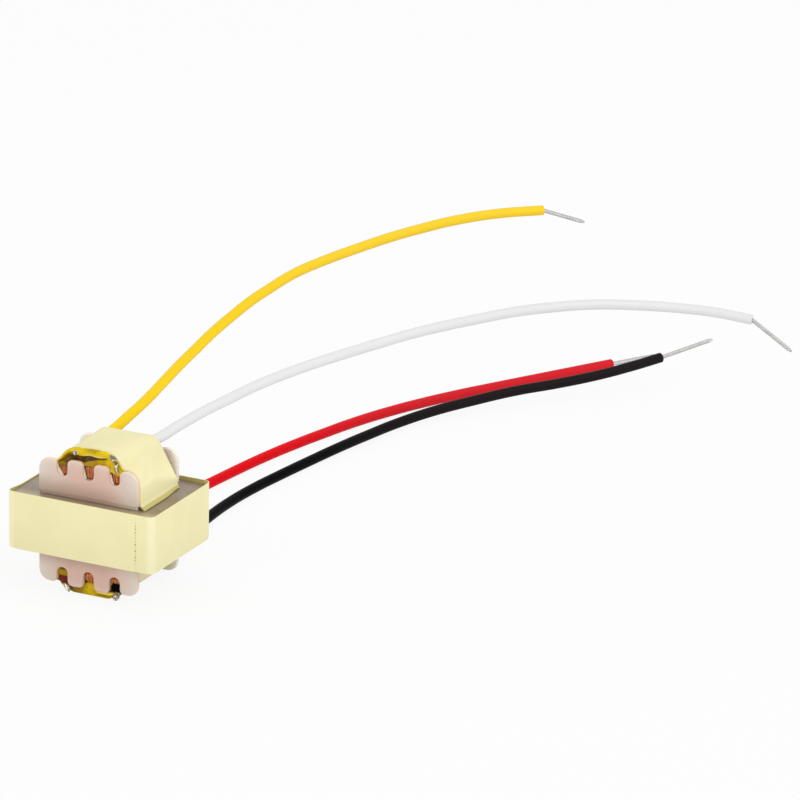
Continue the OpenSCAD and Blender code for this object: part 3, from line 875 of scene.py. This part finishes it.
low_face_left = -2.5
low_face_width = 5.2
low_face_top = 0.66
low_face_foot = 0.02
low_face_lift = 0.5
low_face_gap = 0.03
low_face_bulge = 0.05


def low_face_place(along, over):
    """A place on the lower front face of the film: x, and z up from the bench."""
    x = low_face_left + low_face_width * along
    low = low_face_foot + low_face_lift * eased(abs(x), 1.7, 2.7)
    return x, low + (low_face_top - low) * over


def low_face(along, over):
    """Film under the lower lobe, down to the bench."""
    x, z = low_face_place(along, over)
    return x, film_front - low_face_gap - low_face_bulge * math.sin(math.pi * over), z


def low_face_tone(along, over):
    """Olive on the left, and on the right a pale painted highlight above a dark band of painted shade, as
    on a crease.
    """
    x, _ = low_face_place(along, over)
    left = eased(x, -0.5, -1.2)
    right = eased(x, 0.3, 0.9)
    highlight_and_shade = 0.28 * hump(over, 0.36, 0.2) - 0.4 * hump(over, 0.68, 0.22)
    return 0.42 + 0.28 * left + right * highlight_and_shade


amber_cover = merged_copy("winding_film", "amber_film_cover")
# The front foot of the film's hood is raised a little, and the whole cover is pulled tight
for vertex in amber_cover.data.vertices:
    x, y, z = vertex.co / MM
    if y < -film_reach and abs(z - hood_foot) < 0.02:
        z += hood_lift
    vertex.co = Vector(drawn_in(x, y, z)) * MM
tones = amber_cover.data.attributes.new("film_tone", "FLOAT", "POINT")
tones.data.foreach_set("value", [cover_tone] * len(amber_cover.data.vertices))
sheets = [
    film_sheet("film_rim", 80, 12, rolled_rim, rim_tone),
    film_sheet("film_face", 60, 16, film_face, face_tone),
    film_sheet("film_peak", 20, 6, low_peak, peak_tone),
    film_sheet("film_flap", 12, 20, slot_flap, flap_tone),
    film_sheet("film_low_face", 40, 10, low_face, low_face_tone),
]
amber_cover = joined([amber_cover] + sheets, "amber_film_cover")
shade_smoothly(amber_cover, film_crease)
settle(amber_cover, film, "film", "winding_film")
sleeve_film, at = begin_finish("film_over_red")
end_finish(at, {
    "Base Color": mottle(at, 0.3 * MM).between(paint(138, 24, 6), paint(84, 14, 4)),
    "Roughness": 0.15 + 0.1 * mottle(at, 0.2 * MM),
    "Specular IOR Level": 0.2,
})
sleeve_route = [(-2.6, -3.43, 1.2), (-2.6, -3.2, 1.19), (-2.6, -2.9, 1.18)]
sleeve_diameter = 0.98
points = [Vector(point) * MM for point in sleeve_route]
sleeve_tube = laid_wire("red_end_sleeve", points, sleeve_diameter * MM, roundness=6)
sleeve = joined([sleeve_tube], "red_end_sleeve")
settle(sleeve, sleeve_film, "film")


# Outer wrap
# Pale cream tape drawn over the top of the coil and the two upper leads, down to the core.
# It lies smooth and taut, with its edges cut straight and its right foot flared a little on the steel.
def cream_tape(name, mark_and_shade, mark_and_shade_paint, painted_light, painted_light_paint):
    """Matt cream tape. Two functions of the place give 1 where it is darkened, by dashes, adhesive and
    painted shade, and where it is paled by painted light.
    """
    material, place = begin_finish(name)
    fibre = mottle(place, 0.12 * MM, 3.0)
    shade = mottle(place, 3 * MM, 2.0)
    clean = shade.rise(0.3, 0.7).between(paint(245, 237, 186), paint(242, 234, 182))
    marked_and_shaded = mark_and_shade(place).between(clean, mark_and_shade_paint)
    end_finish(place, {
        "Base Color": painted_light(place).between(marked_and_shaded, painted_light_paint),
        "Roughness": 0.5 + 0.12 * fibre,
        "Specular IOR Level": 0.3,
        "Normal": bumped(place, fibre, 0.006 * MM),
    })
    return material


# Sizes of the wrap in mm
wrap_low, wrap_high = (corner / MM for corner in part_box("winding_wrap"))
wrap_edge = 3.4
wrap_edge_run = 0.3
wrap_thickness = 0.16
wrap_crease = 50
foot_flare = 0.42
flare_height = 0.42
flare_loss = 0.6
flare_run = 3.2
tunnel_half = 5.4
tunnel_rise = 5.6
tunnel_foot = wrap_low.z + 0.02
tunnel_front = wrap_low.y + 0.01
tunnel_rear = wrap_high.y - 0.03
rear_lean = math.tan(math.radians(10))


def wrap_tunnel(along, over):
    """A round tunnel outside the wrap, from its left foot to its right one and from front to rear."""
    swing = math.pi * (1 - along)
    z = tunnel_foot + tunnel_rise * math.sin(swing)
    rear = tunnel_rear - rear_lean * (z - wrap_low.z)
    return tunnel_half * math.cos(swing), tunnel_front + (rear - tunnel_front) * over, z


wrap = laid_sheet("cream_wrap", columns=140, rows=60, form=wrap_tunnel)
lengthways = [vertex.co.y / MM for vertex in wrap.data.vertices]
drawn = wrap.modifiers.new("drawn down", "SHRINKWRAP")
drawn.target = frame["nodes"]["winding_wrap"]
drawn.wrap_method = "PROJECT"
drawn.use_negative_direction = True
bpy.ops.object.modifier_apply(modifier=drawn.name)

# The feet keep their place while the rest is smoothed
foot_top = (wrap_low.z + 0.1) * MM
feet = {vertex.index: vertex.co.copy() for vertex in wrap.data.vertices if vertex.co.z < foot_top}
smooth = wrap.modifiers.new("taut", "SMOOTH")
smooth.factor = 0.5
smooth.iterations = 8
bpy.ops.object.modifier_apply(modifier=smooth.name)
for vertex, y in zip(wrap.data.vertices, lengthways):
    place = feet.get(vertex.index, vertex.co)
    x, _, z = drawn_in(place.x / MM, y, place.z / MM)
    forward = (wrap_edge + wrap_low.y) * (1 - eased(y, wrap_low.y, wrap_low.y + wrap_edge_run))
    if x > 0:
        flare = foot_flare * (1 - eased(z, wrap_low.z, wrap_low.z + flare_height))
        x += flare * (1 - flare_loss * eased(y, 0, flare_run))
    vertex.co = Vector((x, y - forward, z)) * MM
give_wall(wrap, wrap_thickness, offset=-1)
shade_smoothly(wrap, wrap_crease)
wrap_foot = wrap_low.z * MM
foot_shade_top = wrap_foot + 0.34 * MM
foot_shade_fade = 0.102 * MM


def foot_painted_shade(place):
    """1 along the feet of the wrap, painted olive: painted shade along the feet, and on the flared right
    foot a painted reflection of the tape in the steel.
    """
    return 1 - place.axis("Z").rise(foot_shade_top - foot_shade_fade, foot_shade_top)


def right_side_painted_light(place):
    """1 low on the right side, above the olive feet: painted light, which lifts the side where the steel
    beside it shades it.
    """
    right = place.axis("X").rise(2.8 * MM, 4.2 * MM)
    low = 1 - place.axis("Z").rise(10 * MM, 12.5 * MM)
    return right * low * place.axis("Z").rise(foot_shade_top, wrap_foot + 0.5 * MM)


# The feet of the wrap get painted shade and reflection in olive, and its low right side painted light in
# pale cream.
wrap_tape = cream_tape("cream_wrap_tape", foot_painted_shade, paint(206, 195, 120), right_side_painted_light, paint(255, 249, 196))
settle(wrap, wrap_tape, "tape", "winding_wrap")


# Core band
# The same cream tape, wound once and a little more round the edges of the core.
# It stands a little taller than the steel, and its cut end is pressed down on the front.
band = merged_copy("core_band", "cream_band")
band_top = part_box("core_band")[1].z
cuts_each_way = 9
cut_spacing = 0.5 * MM
edge_reach = 0.05 * MM
edge_dip = 0.24 * MM
edge_round = 0.02 * MM
band_crease = 35

# Cuts across the band let its left upper edge dip between the corners
bpy.ops.object.mode_set(mode="EDIT")
for step in range(-cuts_each_way, cuts_each_way + 1):
    bpy.ops.mesh.select_all(action="SELECT")
    bpy.ops.mesh.bisect(plane_co=(0, step * cut_spacing, 0), plane_no=(0, 1, 0))
bpy.ops.object.mode_set(mode="OBJECT")
for vertex in band.data.vertices:
    x, y, _ = vertex.co / MM
    if vertex.co.z > band_top - edge_reach:
        left = eased(x, -6.9, -7.1)
        middle = eased(y, -5.4, -2.4) * (1 - eased(y, 2.4, 4.4))
        vertex.co.z -= edge_dip * left * middle
round_edges(band, edge_round, segments=2, sharpest=band_crease)
seam_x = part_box("e_lamination_01")[1].x - 1.6 * MM
seam_reach = 0.05 * MM
tooth_waves = 1100.0


def cut_end(place):
    """Short, uneven dark dashes along the cut end of the band."""
    near = 1 - abs(place.axis("X") - seam_x).rise(0.5 * seam_reach, seam_reach)
    dashes = place.node("TexWave", {"bands_direction": "Z"}, {"Vector": place, "Scale": tooth_waves})
    gaps = mottle(stretched(place, 0.0, 0.0, 1.0), 0.6 * MM).rise(0.4, 0.55)
    middle = 1 - abs(place.axis("Z") - axis_height).rise(1.2 * MM, 2.2 * MM)
    front = 1 - place.axis("Y").rise(-5 * MM, -4.8 * MM)
    return near * dashes.rise(0.4, 0.6) * gaps * middle * front


core_corner = 0.5 * MM
corner_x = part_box("e_lamination_01")[1].x - core_corner
corner_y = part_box("i_lamination_01")[1].y - core_corner


def inside(place):
    """1 on the inner face of the band, painted olive: the adhesive side, darkened with painted shade inside
    the band.
    """
    across = place.math("MAXIMUM", abs(place.axis("X")) - corner_x, 0)
    along = place.math("MAXIMUM", abs(place.axis("Y")) - corner_y, 0)
    outward = place.math("SQRT", across * across + along * along, 0)
    return 1 - outward.rise(core_corner + 0.02 * MM, core_corner + 0.05 * MM)


def band_mark(place):
    """1 on the dashes of the cut end, and most of the way on the inner face."""
    return place.math("MAXIMUM", cut_end(place), 0.8 * inside(place))


def corner_highlight(place):
    """Up to 0.6 round the four corners of the core: a pale painted highlight where the tape turns round
    each corner.
    """
    return 0.6 * (abs(place.axis("X")) + abs(place.axis("Y"))).rise(11.7 * MM, 12.22 * MM)


band_tape = cream_tape("cream_band_tape", band_mark, paint(172, 160, 66), corner_highlight, paint(253, 247, 206))
settle(band, band_tape, "tape", "core_band")


# Bench and light
# A plain pale floor, soft lamps on both sides and an even pale room.
# The floor and the room show white to the eye and in reflections, and the floor keeps a soft shadow.
def seen_directly(wire):
    """1 where a ray comes from the eye or from a shiny or clear surface, and 0 for lighting."""
    eye = wire.node("LightPath", {}, {}, "Is Camera Ray")
    shine = wire.node("LightPath", {}, {}, "Is Glossy Ray")
    clear = wire.node("LightPath", {}, {}, "Is Transmission Ray")
    return wire.math("MINIMUM", eye + shine + clear, 1)


floor_size = 3
floor_drop = 0.02 * MM
floor_white = 0.9
bpy.ops.object.select_all(action="DESELECT")
bpy.ops.mesh.primitive_plane_add(size=floor_size, location=(0, 0, -floor_drop))
floor = bpy.context.object
floor.name = "bench_floor"
bench, at = begin_finish("pale_bench")
matt = at.node("BsdfDiffuse", {}, {"Color": paint(240, 240, 240)})
glow = at.node("Emission", {}, {"Color": (1, 1, 1, 1), "Strength": 1.0})
surface = at.node("MixShader", {}, {0: seen_directly(at) * floor_white, 1: matt, 2: glow})
at.node("OutputMaterial", {}, {"Surface": surface})
floor.data.materials.append(bench)

room = bpy.data.worlds.new("pale_room")
bpy.context.scene.world = room
room.use_nodes = True
room.node_tree.nodes.clear()
air = Wire(room.node_tree)
room_light = 0.7
strength = room_light + (1 - room_light) * seen_directly(air)
sky = air.node("Background", {}, {"Color": (1, 1, 1, 1), "Strength": strength})
air.node("OutputWorld", {}, {"Surface": sky})


def direction(azimuth, elevation):
    """The way from the part to a lamp or a camera, by two angles in degrees. Azimuth 0 is in front."""
    around = math.radians(azimuth)
    above = math.radians(elevation)
    return Vector((
        math.sin(around) * math.cos(above), -math.cos(around) * math.cos(above), math.sin(above)
    ))


def softbox(name, azimuth, elevation, distance, size, power):
    """A square lamp that faces the winding."""
    back = direction(azimuth, elevation)
    bpy.ops.object.light_add(type="AREA", location=Vector((0, 0, axis_height)) + back * distance)
    lamp = bpy.context.object
    lamp.name = name
    lamp.rotation_mode = "QUATERNION"
    lamp.rotation_quaternion = back.to_track_quat("Z", "Y")
    lamp.data.size = size
    lamp.data.energy = power


softbox("key_softbox", azimuth=-25, elevation=20, distance=0.8, size=0.6, power=1.2)
softbox("side_softbox", azimuth=80, elevation=45, distance=0.8, size=0.6, power=2.15)


# Camera
# A long lens in front of the part, a little to its right and above it.
# The body stands low on the left of the picture, and the leads run off to the right.
azimuth = 26.51
elevation = 19.58
roll = math.radians(0.93)
distance = 0.6
aside = 0.02536
above = 0.00992
lens = 309.53
sensor = 36
back = direction(azimuth, elevation)
level = direction(azimuth + 90, 0)
upright = back.cross(level)
right = level * math.cos(roll) + upright * math.sin(roll)
up = upright * math.cos(roll) - level * math.sin(roll)
eye = Vector((0, 0, axis_height)) + right * aside + up * above + back * distance
bpy.ops.object.camera_add()
camera = bpy.context.object
camera.data.sensor_width = sensor
camera.data.lens = lens
camera.matrix_world = Matrix((
    (right.x, up.x, back.x, eye.x),
    (right.y, up.y, back.y, eye.y),
    (right.z, up.z, back.z, eye.z),
    (0, 0, 0, 1),
))
bpy.context.scene.camera = camera
bpy.context.scene.view_settings.view_transform = "Standard"
